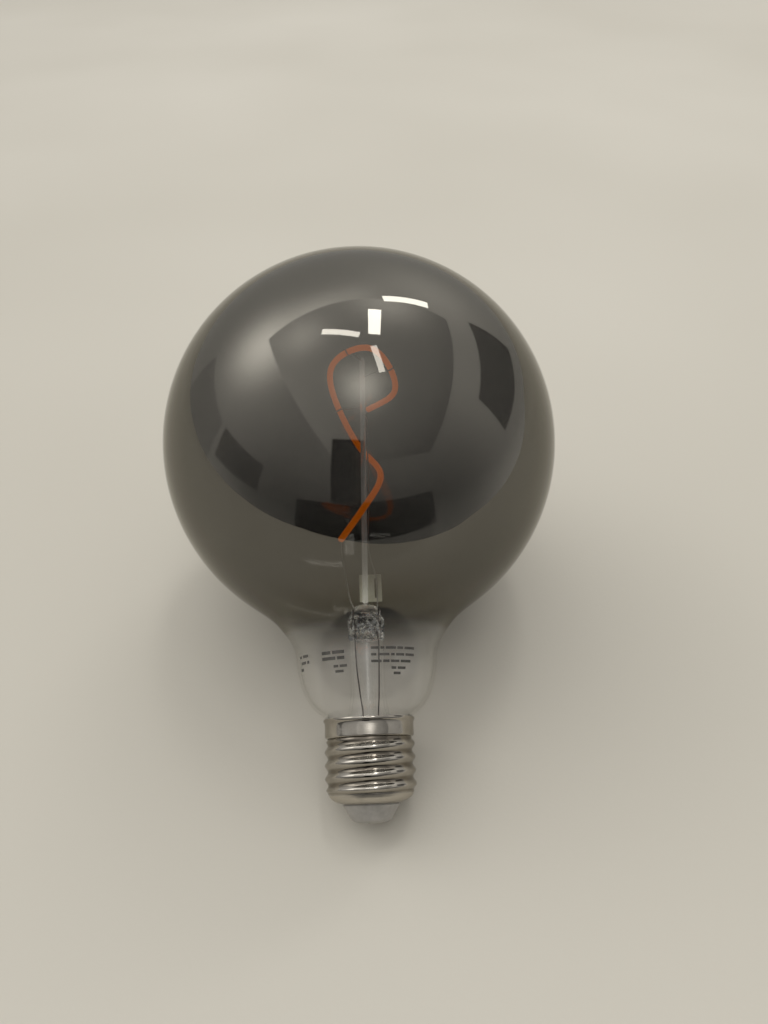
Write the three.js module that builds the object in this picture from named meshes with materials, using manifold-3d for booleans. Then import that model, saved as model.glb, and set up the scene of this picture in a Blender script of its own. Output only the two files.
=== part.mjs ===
// A large globe filament bulb on a screw cap.
//
// A smoked glass envelope is cemented into a nickel-plated screw shell. Inside it a glass stem holds
// a centre rod, whose support wires carry one long spiral LED filament. The cap holds a small driver.
//
// Units are millimetres. +Z runs along the bulb's axis, from the cap to the globe.
// The origin is the centre of the flat face of the centre contact. -Y is the front.

import * as THREE from 'three';
import { mergeVertices } from 'three/addons/utils/BufferGeometryUtils.js';
import Module from 'manifold-3d';

const wasm = await Module();
wasm.setup();

// ---------------------------------------------------------------- driving dimensions

// Envelope
const GLOBE_RADIUS = 62.5;
const GLOBE_CENTRE_Z = 114.8;
const ENVELOPE_WALL = 0.9;
const NECK_TUBE_RADIUS = 11.3;
const NECK_MOUTH_Z = 21.4;
const NECK_BELLY_RADIUS = 20.5;
const NECK_BELLY_Z = 41.5;
const GLOBE_JOIN_RADIUS = 35.9;

// Screw cap, size E27
const CAP_HEIGHT = 28.4;
const THREAD_PITCH = 3.629;
const THREAD_CREST_RADIUS = 13.15;
const THREAD_ROOT_RADIUS = 12.25;
const THREAD_BOTTOM_Z = 8.0;
const THREAD_TOP_Z = 22.9;
const THREAD_FRONT_CREST_Z = 20.1;
const RIM_BAND_RADIUS = 13.0;
const RIM_LIP_RADIUS = 13.4;
const SHELL_WALL = 0.4;
const SHOULDER_Z = 5.2;
const SHOULDER_RADIUS = 8.1;

// Insulator and contact
const INSULATOR_TIP_RADIUS = 5.75;
const INSULATOR_BORE_RADIUS = 1.3;
const CONTACT_RADIUS = 3.4;
const CONTACT_THICKNESS = 0.6;
const CONTACT_SHANK_RADIUS = 0.95;
const CONTACT_SHANK_TOP_Z = 9.0;

// Stem
const FLARE_RADIUS = 5.2;
const FLARE_WALL = 0.8;
const FLARE_TOP_Z = 50.9;
const PINCH_BOTTOM_Z = 51.2;
const PINCH_TOP_Z = 62.4;
const PINCH_HALF_WIDTH = 5.65;
const PINCH_FLATNESS = 0.5;
const EXHAUST_RADIUS = 2.2;
const EXHAUST_WALL = 0.7;
const EXHAUST_TIP_Z = 18.8;
const ROD_RADIUS = 0.9;
const ROD_TOP_Z = 147.4;
const ROD_LEAN = 1.5;

// Wires
const LEAD_RADIUS = 0.3;
const SUPPORT_RADIUS = 0.25;
const LEFT_SEAL_X = -3.5;
const RIGHT_SEAL_X = 3.7;

// Filament
const FILAMENT_RADIUS = 1.0;
const SUBSTRATE_WIDTH = 0.8;
const SUBSTRATE_THICKNESS = 0.25;
const TAB_WIDTH = 1.3;
const TAB_THICKNESS = 0.3;

// Driver
const BOARD_RADIUS = 9.5;
const BOARD_THICKNESS = 1.0;
const BOARD_Z = 16.2;
const BOARD_HOLE_RADIUS = 0.65;

// Clearance between pieces that touch on the real bulb
const GAP = 0.3;

// ---------------------------------------------------------------- materials

const finish = (color, roughness, metalness, more = {}) =>
  new THREE.MeshStandardMaterial({ color, roughness, metalness, ...more });

const SMOKED_GLASS = { color: 0x55565a, roughness: 0.05, metalness: 0.4, opacity: 0.55 };
const CLEAR_GLASS = { color: 0xdfe6e4, roughness: 0.05, metalness: 0.0, opacity: 0.4 };

const glass = ({ color, roughness, metalness, opacity }) =>
  finish(color, roughness, metalness, { transparent: true, opacity });

// ---------------------------------------------------------------- geometry helpers

const point = ([x, y, z]) => new THREE.Vector3(x, y, z);

const smoothCurve = (points) => new THREE.CatmullRomCurve3(points.map(point), false, 'centripetal');

const straight = (start, end) => new THREE.LineCurve3(point(start), point(end));

// Turns a closed outline of [radius, z] points about the Z axis. The outline runs up its outer side.
function turned(outline, segments) {
  const profile = outline.map(([radius, z]) => new THREE.Vector2(radius, z));
  return new THREE.LatheGeometry(profile, segments).rotateX(Math.PI / 2);
}

// A round wire or, with a bore, a tube along a curve.
function wireAlong(curve, radius, steps, sides = 6, bore = 0) {
  const section = new THREE.Shape().absarc(0, 0, radius, 0, Math.PI * 2);
  if (bore > 0) {
    section.holes.push(new THREE.Path().absarc(0, 0, bore, 0, Math.PI * 2, true));
  }
  const options = { extrudePath: curve, steps, curveSegments: sides / 2, bevelEnabled: false };
  return new THREE.ExtrudeGeometry(section, options);
}

function rectangle(width, height) {
  const shape = new THREE.Shape();
  shape.moveTo(-width / 2, -height / 2);
  shape.lineTo(width / 2, -height / 2);
  shape.lineTo(width / 2, height / 2);
  shape.lineTo(-width / 2, height / 2);
  shape.closePath();
  return shape;
}

function stripAlong(curve, width, thickness, steps) {
  const options = { extrudePath: curve, steps, bevelEnabled: false };
  return new THREE.ExtrudeGeometry(rectangle(width, thickness), options);
}

// A plain moulded block standing on z = 0, with its edges slightly broken.
function block(width, depth, height, edge) {
  const options = { depth: height - 2 * edge, bevelSize: edge, bevelThickness: edge, bevelSegments: 1 };
  const shape = rectangle(width - 2 * edge, depth - 2 * edge);
  return new THREE.ExtrudeGeometry(shape, options).translate(0, 0, edge);
}

function toManifold(geometry) {
  const bare = geometry.clone();
  bare.deleteAttribute('normal');
  bare.deleteAttribute('uv');
  const merged = mergeVertices(bare);
  const corners = merged.index.array;
  const kept = [];
  for (let i = 0; i < corners.length; i += 3) {
    const [a, b, c] = corners.slice(i, i + 3);
    if (a !== b && b !== c && c !== a) {
      kept.push(a, b, c);
    }
  }
  const vertProperties = new Float32Array(merged.attributes.position.array);
  return new wasm.Manifold(new wasm.Mesh({ numProp: 3, vertProperties, triVerts: new Uint32Array(kept) }));
}

function fromManifold(manifold) {
  const { vertProperties, triVerts } = manifold.getMesh();
  const geometry = new THREE.BufferGeometry();
  geometry.setAttribute('position', new THREE.BufferAttribute(vertProperties, 3));
  geometry.setIndex(new THREE.BufferAttribute(triVerts, 1));
  geometry.computeVertexNormals();
  return geometry;
}

function cutAway(geometry, tools) {
  const rest = tools.reduce((solid, tool) => solid.subtract(toManifold(tool)), toManifold(geometry));
  return fromManifold(rest);
}

function addPart(group, name, geometry, material, place = [0, 0, 0]) {
  const mesh = new THREE.Mesh(geometry, material);
  mesh.name = name;
  mesh.position.set(...place);
  group.add(mesh);
}

// ---------------------------------------------------------------- envelope

// The outer side of the envelope from the neck's mouth to the top of the globe.
function envelopeOutline(neckSteps, globeSteps) {
  const joinAngle = Math.asin(GLOBE_JOIN_RADIUS / GLOBE_RADIUS);
  const joinZ = GLOBE_CENTRE_Z - GLOBE_RADIUS * Math.cos(joinAngle);
  const neck = new THREE.SplineCurve([
    new THREE.Vector2(NECK_TUBE_RADIUS, CAP_HEIGHT - 2.6),
    new THREE.Vector2(NECK_TUBE_RADIUS + 1.1, CAP_HEIGHT - 0.2),
    new THREE.Vector2(NECK_BELLY_RADIUS - 3.7, CAP_HEIGHT + 3.8),
    new THREE.Vector2(NECK_BELLY_RADIUS - 1.4, NECK_BELLY_Z - 5.0),
    new THREE.Vector2(NECK_BELLY_RADIUS, NECK_BELLY_Z),
    new THREE.Vector2(NECK_BELLY_RADIUS + 0.9, NECK_BELLY_Z + 6.3),
    new THREE.Vector2(GLOBE_JOIN_RADIUS - 12.4, joinZ - 11.4),
    new THREE.Vector2(GLOBE_JOIN_RADIUS - 7.8, joinZ - 5.8),
    new THREE.Vector2(GLOBE_JOIN_RADIUS, joinZ),
  ]);
  const outline = [new THREE.Vector2(NECK_TUBE_RADIUS, NECK_MOUTH_Z), ...neck.getPoints(neckSteps)];
  for (let i = 1; i <= globeSteps; i += 1) {
    const angle = joinAngle + ((Math.PI - joinAngle) * i) / globeSteps;
    const radius = i === globeSteps ? 0 : GLOBE_RADIUS * Math.sin(angle);
    outline.push(new THREE.Vector2(radius, GLOBE_CENTRE_Z - GLOBE_RADIUS * Math.cos(angle)));
  }
  return outline;
}

// Moves each point of an outline inwards by the wall, square to the outline.
function insideOf(outline, wall) {
  return outline.map((here, i) => {
    const before = outline[Math.max(i - 1, 0)];
    const after = outline[Math.min(i + 1, outline.length - 1)];
    const along = after.clone().sub(before).normalize();
    const onAxis = here.x === 0;
    const atMouth = i === 0;
    if (onAxis) {
      return new THREE.Vector2(0, here.y - wall);
    }
    if (atMouth) {
      return new THREE.Vector2(here.x - wall, here.y);
    }
    return new THREE.Vector2(here.x - along.y * wall, here.y + along.x * wall);
  });
}

function makeEnvelope() {
  const outside = envelopeOutline(16, 11);
  const inside = insideOf(outside, ENVELOPE_WALL).reverse();
  const outline = [...inside, ...outside].map(({ x, y }) => [x, y]);
  const group = new THREE.Group();
  addPart(group, 'glass_envelope', turned(outline, 32), glass(SMOKED_GLASS));
  return group;
}

// ---------------------------------------------------------------- screw cap

const smoothstep = (low, high, value) => THREE.MathUtils.smoothstep(value, low, high);

// How far the rolled thread stands out at a height and an angle measured from the front.
function threadHeight(z, angle) {
  const crestZ = THREAD_FRONT_CREST_Z + (THREAD_PITCH * angle) / (Math.PI * 2);
  const wave = 0.5 + 0.5 * Math.cos((Math.PI * 2 * (z - crestZ)) / THREAD_PITCH);
  const runOut = THREAD_PITCH / 3;
  const fadeIn = smoothstep(THREAD_BOTTOM_Z, THREAD_BOTTOM_Z + runOut, z);
  const fadeOut = 1 - smoothstep(THREAD_TOP_Z - runOut, THREAD_TOP_Z, z);
  return (THREAD_CREST_RADIUS - THREAD_ROOT_RADIUS) * wave * fadeIn * fadeOut;
}

function rollThread(geometry) {
  const position = geometry.attributes.position;
  const skin = THREAD_ROOT_RADIUS - SHELL_WALL / 4;
  for (let i = 0; i < position.count; i += 1) {
    const x = position.getX(i);
    const y = position.getY(i);
    const z = position.getZ(i);
    const radius = Math.hypot(x, y);
    const onThread = radius > skin && z >= THREAD_BOTTOM_Z && z <= THREAD_TOP_Z;
    if (onThread) {
      const grown = (radius + threadHeight(z, Math.atan2(x, -y))) / radius;
      position.setXYZ(i, x * grown, y * grown, z);
    }
  }
  return geometry;
}

function screwShellGeometry() {
  const rowsPerTurn = 6;
  const rows = Math.round(((THREAD_TOP_Z - THREAD_BOTTOM_Z) * rowsPerTurn) / THREAD_PITCH);
  const outside = [
    [SHOULDER_RADIUS, SHOULDER_Z],
    [SHOULDER_RADIUS + 2.0, SHOULDER_Z + 0.6],
    [SHOULDER_RADIUS + 3.4, SHOULDER_Z + 1.5],
  ];
  for (let i = 0; i <= rows; i += 1) {
    outside.push([THREAD_ROOT_RADIUS, THREAD_BOTTOM_Z + ((THREAD_TOP_Z - THREAD_BOTTOM_Z) * i) / rows]);
  }
  outside.push(
    [RIM_BAND_RADIUS, THREAD_TOP_Z + 0.5],
    [RIM_BAND_RADIUS, CAP_HEIGHT - 1.2],
    [RIM_LIP_RADIUS, CAP_HEIGHT - 0.6],
    [RIM_LIP_RADIUS, CAP_HEIGHT],
  );
  const inside = [
    [RIM_LIP_RADIUS - SHELL_WALL, CAP_HEIGHT],
    [RIM_BAND_RADIUS - SHELL_WALL, CAP_HEIGHT - 1.2],
    [RIM_BAND_RADIUS - SHELL_WALL, THREAD_TOP_Z + 0.7],
    [THREAD_ROOT_RADIUS - SHELL_WALL, THREAD_TOP_Z],
    [THREAD_ROOT_RADIUS - SHELL_WALL, THREAD_BOTTOM_Z],
    [SHOULDER_RADIUS + 3.2, SHOULDER_Z + 1.9],
    [SHOULDER_RADIUS + 1.9, SHOULDER_Z + 1.0],
    [SHOULDER_RADIUS, SHOULDER_Z + SHELL_WALL],
  ];
  return rollThread(turned([...outside, ...inside, outside[0]], 32));
}

function insulatorGeometry() {
  const recess = CONTACT_RADIUS + GAP;
  const waist = SHOULDER_RADIUS - GAP;
  const outline = [
    [INSULATOR_BORE_RADIUS, CONTACT_THICKNESS + GAP],
    [recess, CONTACT_THICKNESS + GAP],
    [recess, 0.2],
    [recess + 0.5, 0.2],
    [INSULATOR_TIP_RADIUS, 0.95],
    [SHOULDER_RADIUS, SHOULDER_Z - GAP],
    [waist, SHOULDER_Z - GAP],
    [waist, SHOULDER_Z + SHELL_WALL + GAP],
    [SHOULDER_RADIUS + 1.0, SHOULDER_Z + SHELL_WALL + 3 * GAP],
    [SHOULDER_RADIUS + 1.0, SHOULDER_Z + 2.4],
    [INSULATOR_BORE_RADIUS, SHOULDER_Z + 2.4],
  ];
  return turned([...outline, outline[0]], 24);
}

function centreContactGeometry() {
  const outline = [
    [0, 0],
    [CONTACT_RADIUS - 0.25, 0],
    [CONTACT_RADIUS, 0.25],
    [CONTACT_RADIUS, CONTACT_THICKNESS],
    [CONTACT_SHANK_RADIUS, CONTACT_THICKNESS],
    [CONTACT_SHANK_RADIUS, CONTACT_SHANK_TOP_Z],
    [0, CONTACT_SHANK_TOP_Z],
  ];
  return turned(outline, 24);
}

// The ring of cement that holds the neck in the rim band.
function capCementGeometry() {
  const inner = NECK_TUBE_RADIUS + GAP;
  const outer = RIM_BAND_RADIUS - SHELL_WALL - GAP;
  const top = CAP_HEIGHT - 2.9;
  const bottom = THREAD_TOP_Z + 0.9;
  return turned([[inner, bottom], [outer, bottom], [outer, top], [inner, top], [inner, bottom]], 24);
}

function makeCap() {
  const group = new THREE.Group();
  addPart(group, 'screw_shell', screwShellGeometry(), finish(0xc9c7c2, 0.18, 1.0));
  addPart(group, 'insulator', insulatorGeometry(), finish(0xa9abaf, 0.55, 0.0));
  addPart(group, 'centre_contact', centreContactGeometry(), finish(0xb9bbbd, 0.35, 1.0));
  addPart(group, 'cap_cement', capCementGeometry(), finish(0xd8d2c4, 0.9, 0.0));
  return group;
}

// ---------------------------------------------------------------- glass stem

function stemFlareGeometry() {
  const outside = [
    [NECK_TUBE_RADIUS - ENVELOPE_WALL - GAP, NECK_MOUTH_Z + 0.4],
    [8.2, NECK_MOUTH_Z + 3.6],
    [6.2, NECK_MOUTH_Z + 8.0],
    [FLARE_RADIUS, NECK_MOUTH_Z + 14.0],
    [FLARE_RADIUS, FLARE_TOP_Z],
  ];
  const inside = outside.map(([radius, z], i) => [radius - FLARE_WALL, i === 0 ? z - 0.4 : z]).reverse();
  return turned([...outside, ...inside, outside[0]], 24);
}

function exhaustTubeGeometry() {
  const bore = EXHAUST_RADIUS - EXHAUST_WALL;
  const outline = [
    [0, EXHAUST_TIP_Z],
    [EXHAUST_RADIUS * 0.6, EXHAUST_TIP_Z + 0.5],
    [EXHAUST_RADIUS, EXHAUST_TIP_Z + 2.6],
    [EXHAUST_RADIUS, FLARE_TOP_Z],
    [bore, FLARE_TOP_Z],
    [bore, EXHAUST_TIP_Z + 3.4],
    [0, EXHAUST_TIP_Z + 2.0],
  ];
  return turned(outline, 16);
}

// The pressed end of the stem, flat from front to back, with the two seal wires through it.
function pinchSealGeometry(bores) {
  const height = PINCH_TOP_Z - PINCH_BOTTOM_Z;
  const widths = [0.92, 0.99, 0.93, 0.98, 1.0, 0.93, 0.74];
  const side = widths.map((share, i) => {
    const z = PINCH_BOTTOM_Z + (height * i) / widths.length;
    return [share * PINCH_HALF_WIDTH, z];
  });
  const outline = [[0, PINCH_BOTTOM_Z], ...side, [0.4 * PINCH_HALF_WIDTH, PINCH_TOP_Z], [0, PINCH_TOP_Z]];
  return cutAway(turned(outline, 24).scale(1, PINCH_FLATNESS, 1), bores);
}

const sealWireCurve = (x) => straight([x, 0, PINCH_BOTTOM_Z], [x, 0, PINCH_TOP_Z - 1.4]);

const sealBoreCurve = (x) => straight([x, 0, PINCH_BOTTOM_Z - 1], [x, 0, PINCH_TOP_Z + 1]);

// The centre rod leans a little to the right as it rises.
const rodXAt = (z) => (ROD_LEAN * (z - PINCH_TOP_Z)) / (ROD_TOP_Z - PINCH_TOP_Z);

function centreRodGeometry() {
  const foot = PINCH_TOP_Z + GAP;
  return wireAlong(straight([rodXAt(foot), 0, foot], [rodXAt(ROD_TOP_Z), 0, ROD_TOP_Z]), ROD_RADIUS, 1, 12);
}

function makeStem() {
  const group = new THREE.Group();
  const sides = { left: LEFT_SEAL_X, right: RIGHT_SEAL_X };
  const boreRadius = LEAD_RADIUS + GAP / 2;
  const bores = Object.values(sides).map((x) => wireAlong(sealBoreCurve(x), boreRadius, 1));
  addPart(group, 'stem_flare', stemFlareGeometry(), glass(CLEAR_GLASS));
  addPart(group, 'pinch_seal', pinchSealGeometry(bores), glass(CLEAR_GLASS));
  addPart(group, 'exhaust_tube', exhaustTubeGeometry(), glass(CLEAR_GLASS));
  addPart(group, 'centre_rod', centreRodGeometry(), glass(CLEAR_GLASS));
  for (const [side, x] of Object.entries(sides)) {
    const wire = wireAlong(sealWireCurve(x), LEAD_RADIUS, 1);
    addPart(group, `seal_wire_${side}`, wire, finish(0x7a4a3a, 0.4, 1.0));
  }
  return group;
}

// ---------------------------------------------------------------- filament and its supports

// One long right-handed spiral: it rises round the rod and its last half turn comes back down.
const FILAMENT_CURVE = smoothCurve([
  [-7.1, 0, 83.3],
  [0.7, -7, 91.6],
  [6.8, 0, 105.2],
  [-1.3, 8.5, 119.2],
  [-10.2, -2.5, 142.9],
  [5.1, -11, 145.8],
  [13, 1.5, 135.7],
  [2.9, 10, 133.1],
]);
const FILAMENT_STEPS = 44;

function phosphorCoatGeometry() {
  const section = new THREE.Shape().absarc(0, 0, FILAMENT_RADIUS, 0, Math.PI * 2);
  const slot = rectangle(SUBSTRATE_WIDTH + GAP, SUBSTRATE_THICKNESS + GAP).getPoints();
  section.holes.push(new THREE.Path().setFromPoints(slot.reverse()));
  const sweep = { extrudePath: FILAMENT_CURVE, steps: FILAMENT_STEPS };
  return new THREE.ExtrudeGeometry(section, { ...sweep, curveSegments: 4, bevelEnabled: false });
}

function nearestShare(curve, target) {
  const samples = 400;
  let best = 0;
  for (let i = 1; i <= samples; i += 1) {
    const here = curve.getPointAt(i / samples).distanceTo(target);
    if (here < curve.getPointAt(best).distanceTo(target)) {
      best = i / samples;
    }
  }
  return best;
}

// A wire that leaves the rod and ends in an open loop round the filament.
function supportWireGeometry(rodZ, near) {
  const share = nearestShare(FILAMENT_CURVE, point(near));
  const centre = FILAMENT_CURVE.getPointAt(share);
  const along = FILAMENT_CURVE.getTangentAt(share);
  const rod = new THREE.Vector3(rodXAt(rodZ), 0, rodZ);
  const inward = rod.clone().sub(centre).projectOnPlane(along).normalize();
  const sideways = along.clone().cross(inward);
  const loopRadius = FILAMENT_RADIUS + SUPPORT_RADIUS + GAP / 2;
  const turnAngle = THREE.MathUtils.degToRad(285);
  const drift = 0.35;
  const loop = [];
  const loopSteps = 8;
  for (let i = 0; i <= loopSteps; i += 1) {
    const angle = Math.PI / 2 + (turnAngle * i) / loopSteps;
    const spot = centre.clone();
    spot.addScaledVector(inward, loopRadius * Math.cos(angle));
    spot.addScaledVector(sideways, loopRadius * Math.sin(angle));
    spot.addScaledVector(along, (drift * i) / loopSteps);
    loop.push(spot);
  }
  const outward = loop[0].clone().sub(rod).setZ(0).normalize();
  const start = rod.addScaledVector(outward, ROD_RADIUS + GAP);
  const middle = start.clone().lerp(loop[0], 0.5);
  const curve = new THREE.CatmullRomCurve3([start, middle, ...loop], false, 'centripetal');
  return wireAlong(curve, SUPPORT_RADIUS, 20);
}

const SUPPORTS = [
  { rodZ: 146.6, near: [-3.3, -8.1, 146] },
  { rodZ: 140.4, near: [11.1, -5.5, 140.8] },
  { rodZ: 129.2, near: [-7.1, 5.1, 130.6] },
];

function makeLightSource() {
  const group = new THREE.Group();
  const substrate = stripAlong(FILAMENT_CURVE, SUBSTRATE_WIDTH, SUBSTRATE_THICKNESS, FILAMENT_STEPS);
  const startTab = stripAlong(straight([-6.9, 0, 78.9], [-7.05, 0, 82.9]), TAB_WIDTH, TAB_THICKNESS, 1);
  const endTab = stripAlong(straight([2.6, 10.3, 133], [0.2, 12.4, 131.9]), TAB_WIDTH, TAB_THICKNESS, 1);
  addPart(group, 'led_filament', phosphorCoatGeometry(), finish(0xd9761e, 0.5, 0.0));
  addPart(group, 'filament_substrate', substrate, finish(0xe6dcc8, 0.5, 0.0));
  addPart(group, 'filament_tab_start', startTab, finish(0xc2c4c6, 0.3, 1.0));
  addPart(group, 'filament_tab_end', endTab, finish(0xc2c4c6, 0.3, 1.0));
  SUPPORTS.forEach(({ rodZ, near }, i) => {
    addPart(group, `support_wire_${i + 1}`, supportWireGeometry(rodZ, near), finish(0x6f6e70, 0.4, 1.0));
  });
  return group;
}

// ---------------------------------------------------------------- lead wires

// The left inner lead rises from the seal to the low end of the filament.
const INNER_LEAD_LEFT = smoothCurve([
  [LEFT_SEAL_X, 0, PINCH_TOP_Z - 1.2],
  [-4.6, 0, 64.0],
  [-6.5, 0, 76.0],
  [-6.85, 0, 78.6],
]);

// The right inner lead runs up beside the rod to the far end of the filament.
const besideRod = (z, y) => [rodXAt(z) + ROD_RADIUS + LEAD_RADIUS + GAP, y, z];
const INNER_LEAD_RIGHT = smoothCurve([
  [RIGHT_SEAL_X, 0, PINCH_TOP_Z - 1.2],
  [3.75, 0.6, 65.0],
  [3.65, 0.6, 70.4],
  besideRod(79, 0.2),
  besideRod(92, 0),
  besideRod(110, 0),
  besideRod(123, 0.4),
  [2.0, 6.4, 128.6],
  [0.3, 12.0, 131.3],
]);

// The outer leads drop through the flare, past the exhaust tube, to the driver board.
const LEFT_BOARD_HOLE = [-3.6, -4.4];
const RIGHT_BOARD_HOLE = [4.4, -3.6];
const LEAD_END_Z = BOARD_Z - 0.6;
const OUTER_LEAD_LEFT = smoothCurve([
  [LEFT_SEAL_X, 0, PINCH_BOTTOM_Z - GAP],
  [-3.1, -1.1, 42.5],
  [-2.2, -2.7, 34.5],
  [-1.6, -3.6, 28.5],
  [...LEFT_BOARD_HOLE, BOARD_Z + 3.4],
  [...LEFT_BOARD_HOLE, LEAD_END_Z],
]);
const OUTER_LEAD_RIGHT = smoothCurve([
  [RIGHT_SEAL_X, 0, PINCH_BOTTOM_Z - GAP],
  [3.5, -0.4, 42.5],
  [3.2, -1.1, 34.5],
  [2.9, -1.9, 28.5],
  [...RIGHT_BOARD_HOLE, BOARD_Z + 3.4],
  [...RIGHT_BOARD_HOLE, LEAD_END_Z],
]);

// A sleeve hugs one stretch of a wire, between two shares of its length.
function sleeveGeometry(curve, from, to) {
  const steps = 6;
  const stretch = [];
  for (let i = 0; i <= steps; i += 1) {
    stretch.push(curve.getPointAt(from + ((to - from) * i) / steps));
  }
  const path = new THREE.CatmullRomCurve3(stretch, false, 'centripetal');
  return wireAlong(path, LEAD_RADIUS + 0.55, steps, 6, LEAD_RADIUS + 0.2);
}

// A small folded strip behind the rod, on the right inner lead, that binds stray gas.
function getterTabGeometry() {
  const profile = new THREE.Shape();
  const [left, right, top, bottom] = [-1.7, 5.2, 72.0, 63.4];
  const corner = 0.5;
  profile.moveTo(left + corner, bottom);
  profile.lineTo(right - corner, bottom);
  profile.quadraticCurveTo(right, bottom, right, bottom + corner);
  profile.lineTo(right, top - corner);
  profile.quadraticCurveTo(right, top, right - corner, top);
  profile.lineTo(left + corner, top);
  profile.quadraticCurveTo(left, top, left, top - corner);
  profile.lineTo(left, bottom + corner);
  profile.quadraticCurveTo(left, bottom, left + corner, bottom);
  const options = { depth: 0.3, bevelEnabled: false, curveSegments: 3 };
  const backOfRod = ROD_RADIUS + GAP + 0.35;
  return new THREE.ExtrudeGeometry(profile, options).rotateX(Math.PI / 2).translate(0, backOfRod, 0);
}

function makeLeads() {
  const group = new THREE.Group();
  const nickel = () => finish(0x8c8d90, 0.35, 1.0);
  const copper = () => finish(0x5b4a44, 0.5, 1.0);
  const glassFibre = () => finish(0xe3ddcf, 0.8, 0.0);
  addPart(group, 'inner_lead_left', wireAlong(INNER_LEAD_LEFT, LEAD_RADIUS, 10), nickel());
  addPart(group, 'inner_lead_right', wireAlong(INNER_LEAD_RIGHT, LEAD_RADIUS, 28), nickel());
  addPart(group, 'outer_lead_left', wireAlong(OUTER_LEAD_LEFT, LEAD_RADIUS, 16), copper());
  addPart(group, 'outer_lead_right', wireAlong(OUTER_LEAD_RIGHT, LEAD_RADIUS, 16), copper());
  addPart(group, 'lead_sleeve_left', sleeveGeometry(OUTER_LEAD_LEFT, 0.68, 0.9), glassFibre());
  addPart(group, 'lead_sleeve_right', sleeveGeometry(OUTER_LEAD_RIGHT, 0.68, 0.9), glassFibre());
  addPart(group, 'getter_tab', getterTabGeometry(), finish(0xb9bba6, 0.6, 0.6));
  return group;
}

// ---------------------------------------------------------------- driver in the cap

const LIVE_HOLE = [1.6, -6.2];
const NEUTRAL_HOLE = [-2.6, -7.4];

function boardGeometry() {
  const outline = new THREE.Shape().absarc(0, 0, BOARD_RADIUS, 0, Math.PI * 2);
  for (const [x, y] of [LEFT_BOARD_HOLE, RIGHT_BOARD_HOLE, LIVE_HOLE, NEUTRAL_HOLE]) {
    outline.holes.push(new THREE.Path().absarc(x, y, BOARD_HOLE_RADIUS, 0, Math.PI * 2, true));
  }
  const options = { depth: BOARD_THICKNESS, bevelEnabled: false, curveSegments: 8 };
  return new THREE.ExtrudeGeometry(outline, options);
}

// An upright aluminium can with a rolled groove near its foot, hanging below the board.
function capacitorCanGeometry() {
  const [radius, height] = [2.5, 6.4];
  const outline = [
    [0, -height],
    [radius - 0.3, -height],
    [radius, -height + 0.3],
    [radius, -1.5],
    [radius - 0.25, -1.2],
    [radius, -0.9],
    [radius, 0],
    [0, 0],
  ];
  return turned(outline, 16);
}

// A resistor body with a raised cap at each end.
function fusibleResistorGeometry() {
  const [waist, bulge, length] = [0.95, 1.2, 5.4];
  const outline = [
    [0, -length],
    [waist, -length],
    [bulge, -length + 0.5],
    [bulge, -length + 1.4],
    [waist, -length + 1.9],
    [waist, -1.9],
    [bulge, -1.4],
    [bulge, -0.5],
    [waist, 0],
    [0, 0],
  ];
  return turned(outline, 12);
}

function makeDriver() {
  const group = new THREE.Group();
  const above = BOARD_THICKNESS + 0.1;
  const below = -GAP;
  const black = () => finish(0x1d1d1f, 0.5, 0.0);
  group.position.z = BOARD_Z;
  addPart(group, 'driver_board', boardGeometry(), finish(0x2f5d3a, 0.5, 0.0));
  addPart(group, 'bridge_rectifier', block(4.7, 3.9, 1.9, 0.2), black(), [-5.6, 1.8, above]);
  addPart(group, 'driver_ic', block(4.9, 3.9, 1.5, 0.2), black(), [5.6, 2.6, above]);
  addPart(group, 'sense_resistor_1', block(2.0, 1.25, 0.55, 0.08), black(), [-1.6, 7.0, above]);
  addPart(group, 'sense_resistor_2', block(2.0, 1.25, 0.55, 0.08), black(), [1.6, 7.0, above]);
  const can = capacitorCanGeometry();
  addPart(group, 'electrolytic_capacitor', can, finish(0x33343a, 0.35, 0.6), [-5.2, 2.2, below]);
  const film = block(6.6, 2.8, 6.0, 0.3).translate(0, 0, -6.0);
  addPart(group, 'input_capacitor', film, finish(0xb8452c, 0.4, 0.0), [3.6, 4.6, below]);
  const resistor = fusibleResistorGeometry();
  addPart(group, 'fusible_resistor', resistor, finish(0x4f7a86, 0.5, 0.0), [6.4, -2.2, below]);
  return group;
}

const LIVE_WIRE = smoothCurve([
  [...LIVE_HOLE, BOARD_Z - 0.4],
  [1.4, -5.4, 13.2],
  [0.2, -1.4, 11.4],
  [0, 0, CONTACT_SHANK_TOP_Z + GAP],
]);
const NEUTRAL_WIRE = smoothCurve([
  [...NEUTRAL_HOLE, BOARD_Z - 0.4],
  [-3.0, -8.6, 14.0],
  [-3.6, -10.0, 12.2],
  [-3.7, -10.3, 10.4],
]);

function makeCapWires() {
  const group = new THREE.Group();
  addPart(group, 'live_wire', wireAlong(LIVE_WIRE, 0.55, 14), finish(0x9c2b26, 0.6, 0.0));
  addPart(group, 'neutral_wire', wireAlong(NEUTRAL_WIRE, 0.55, 10), finish(0x22252b, 0.6, 0.0));
  return group;
}

// ---------------------------------------------------------------- the bulb

const bulb = new THREE.Group();
bulb.add(makeEnvelope(), makeCap(), makeStem());
bulb.add(makeLightSource(), makeLeads(), makeDriver(), makeCapWires());

export default bulb;
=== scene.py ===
"""Looks of a smoked globe filament bulb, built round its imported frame.

Everything is in metres in the frame's axes: +Z runs from the cap to the globe, and -Y is the front.
The bulb lies on its side on a pale floor, so the floor leans behind it and "up" is the floor's normal.
"""

import math

import bpy
from mathutils import Matrix, Vector, noise


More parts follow.
